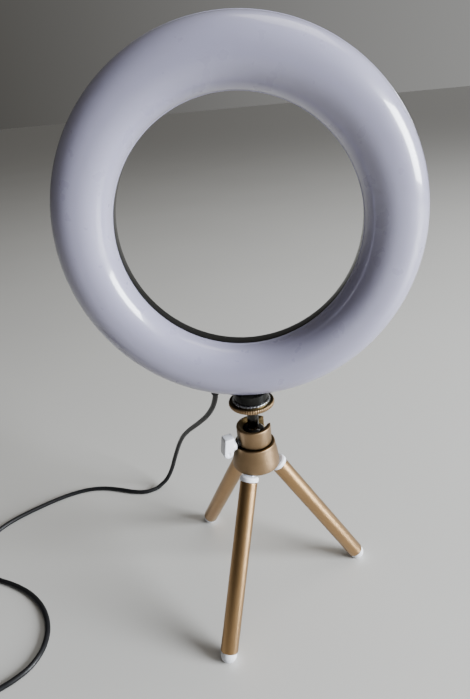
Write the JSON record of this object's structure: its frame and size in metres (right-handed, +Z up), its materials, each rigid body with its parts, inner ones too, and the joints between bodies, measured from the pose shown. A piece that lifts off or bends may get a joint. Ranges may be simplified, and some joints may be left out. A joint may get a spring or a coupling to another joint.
{
  "type": "ring light",
  "caption": "Round desk ring light with a domed milky diffuser, on a small folding tripod with a clamped ball joint, with a USB cord and inline controller.",
  "frame": {"origin": "on the table under the middle of the light and tripod's box, leaving out the cord", "axes": "+Z up, the ring faces -Y, +X to the right when looking at the light from in front"},
  "size_m": [0.3361, 0.1856, 0.2895],
  "materials": {
    "diffuser_milk": "smooth translucent milk acrylic, unlit",
    "shell_black": "glossy black moulding",
    "board_white": "white solder mask",
    "brass": "turned brass",
    "steel": "plated steel",
    "dark_chrome": "black nickel plate",
    "gold_satin": "champagne gold anodised, satin",
    "white_plastic": "white moulded plastic",
    "white_rubber": "white soft rubber",
    "nylon": "natural nylon",
    "black_rubber": "black soft rubber",
    "cord_black": "black PVC jacket, satin",
    "black_plastic": "black moulded plastic, fine grain",
    "button_grey": "grey soft-touch keys"
  },
  "bodies": {
    "base": {"hub_body": "gold_satin", "ball_cup": "gold_satin", "hub_plate": "steel", "hub_screw": "steel", "hinge_pin_1": "steel", "hinge_pin_2": "steel", "hinge_pin_3": "steel", "cord_hanging": "cord_black", "cord_on_table": "cord_black", "cord_to_coil": "cord_black", "cord_coil": "cord_black", "cord_tie": "black_rubber", "cord_tail": "cord_black", "controller_bottom": "black_plastic", "controller_top": "black_plastic", "controller_board": "board_white", "controller_relief_in": "black_rubber", "controller_relief_out": "black_rubber", "plug_body": "black_plastic", "plug_shell": "steel", "plug_tongue": "white_plastic"},
    "seat": {"ball_seat": "nylon"},
    "stud": {"ball_stud": "dark_chrome", "platform_disc": "gold_satin", "grip_washer": "steel"},
    "head": {"diffuser": "diffuser_milk", "back_shell": "shell_black", "led_board": "board_white", "cord_gland": "black_rubber", "socket_insert": "brass", "shell_screw_1": "steel", "shell_screw_2": "steel", "shell_screw_3": "steel", "shell_screw_4": "steel", "shell_screw_5": "steel", "shell_screw_6": "steel"},
    "clamp": {"clamp_pad": "nylon"},
    "knob": {"clamp_knob": "white_plastic", "clamp_screw": "steel"},
    "leg_1": {"leg_knuckle_1": "white_plastic", "leg_tube_1": "gold_satin", "leg_foot_1": "white_rubber"},
    "leg_2": {"leg_knuckle_2": "white_plastic", "leg_tube_2": "gold_satin", "leg_foot_2": "white_rubber"},
    "leg_3": {"leg_knuckle_3": "white_plastic", "leg_tube_3": "gold_satin", "leg_foot_3": "white_rubber"},
    "button_1": {"controller_button_1": "button_grey"},
    "button_2": {"controller_button_2": "button_grey"},
    "button_3": {"controller_button_3": "button_grey"},
    "button_4": {"controller_button_4": "button_grey"}
  },
  "joints": [
    {"name": "leg_1_fold", "type": "hinge", "parent": "base", "child": "leg_1", "pos_m": [-0.00244, -0.00169, 0.08817], "axis": [0.9455, -0.3256, 0], "range_deg": [0, 30.6]},
    {"name": "leg_2_fold", "type": "hinge", "parent": "base", "child": "leg_2", "pos_m": [0.00736, 0.00683, 0.08817], "axis": [-0.1908, 0.9816, 0], "range_deg": [0, 30.6]},
    {"name": "leg_3_fold", "type": "hinge", "parent": "base", "child": "leg_3", "pos_m": [-0.00492, 0.01106, 0.08817], "axis": [-0.7547, -0.6561, 0], "range_deg": [0, 30.6]},
    {"name": "ball_pan", "type": "hinge", "parent": "base", "child": "seat", "pos_m": [0, 0.0054, 0.1022], "axis": [0, 0, 1], "range_deg": [-90, 90], "deforming": ["cord_hanging"]},
    {"name": "ball_tilt", "type": "hinge", "parent": "seat", "child": "stud", "pos_m": [0, 0.0054, 0.1022], "axis": [1, 0, 0], "range_deg": [-25, 25], "deforming": ["cord_hanging"]},
    {"name": "head_turn", "type": "hinge", "parent": "stud", "child": "head", "pos_m": [0, 0.0054, 0.124], "axis": [0, 0, 1], "range_deg": [-90, 90], "deforming": ["cord_hanging"]},
    {"name": "clamp_slide", "type": "slide", "parent": "base", "child": "clamp", "axis": [-0.8988, -0.4384, 0], "range_m": [0, 0.000524]},
    {"name": "knob_turn", "type": "hinge", "parent": "clamp", "child": "knob", "pos_m": [-0.01258, -0.00074, 0.0994], "axis": [-0.8988, -0.4384, 0], "range_deg": [0, 270]},
    {"name": "button_1_press", "type": "slide", "parent": "base", "child": "button_1", "axis": [0, 0, -1], "range_m": [0, 0.0005], "stiffness_N_per_m": 400},
    {"name": "button_2_press", "type": "slide", "parent": "base", "child": "button_2", "axis": [0, 0, -1], "range_m": [0, 0.0005], "stiffness_N_per_m": 400},
    {"name": "button_3_press", "type": "slide", "parent": "base", "child": "button_3", "axis": [0, 0, -1], "range_m": [0, 0.0005], "stiffness_N_per_m": 400},
    {"name": "button_4_press", "type": "slide", "parent": "base", "child": "button_4", "axis": [0, 0, -1], "range_m": [0, 0.0005], "stiffness_N_per_m": 400}
  ],
  "couplings": [
    {"joint": "knob_turn", "follows": "clamp_slide", "rad_per_m": 8976}
  ]
}
